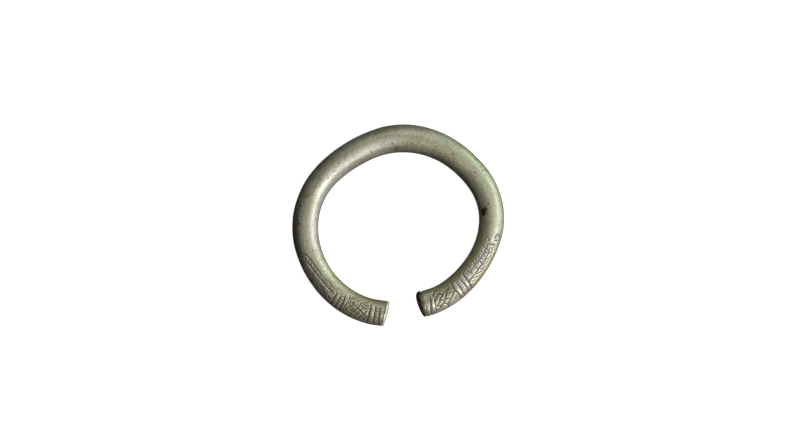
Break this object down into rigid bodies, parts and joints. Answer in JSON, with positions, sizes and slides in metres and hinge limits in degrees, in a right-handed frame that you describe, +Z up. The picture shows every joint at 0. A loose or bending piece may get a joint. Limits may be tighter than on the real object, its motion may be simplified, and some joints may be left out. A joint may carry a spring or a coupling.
{
  "type": "open bangle",
  "caption": "Open round-bar bangle with chased rings, a crossed panel and a feather at each capped end, worn round the wrist.",
  "frame": {"origin": "middle of the bangle's box, on the surface it lies on", "axes": "+X across the bangle's widest way, towards the limb with the vent hole; +Y away from the opening between the ends; +Z up, square to the plane of the hoop"},
  "size_m": [0.0796, 0.0758, 0.0106],
  "materials": {
    "tarnished_silver": "worn satin with tarnish",
    "cap_silver": "worn satin with tarnish",
    "seam_solder": "dull",
    "cap_solder": "dark, dull",
    "pitch": "matt"
  },
  "bodies": {
    "root": {"hoop_tube": "tarnished_silver", "inner_seam_solder": "seam_solder", "left_end_cap": "cap_silver", "right_end_cap": "cap_silver", "left_cap_solder": "cap_solder", "right_cap_solder": "cap_solder", "filling_core": "pitch"}
  },
  "joints": []
}
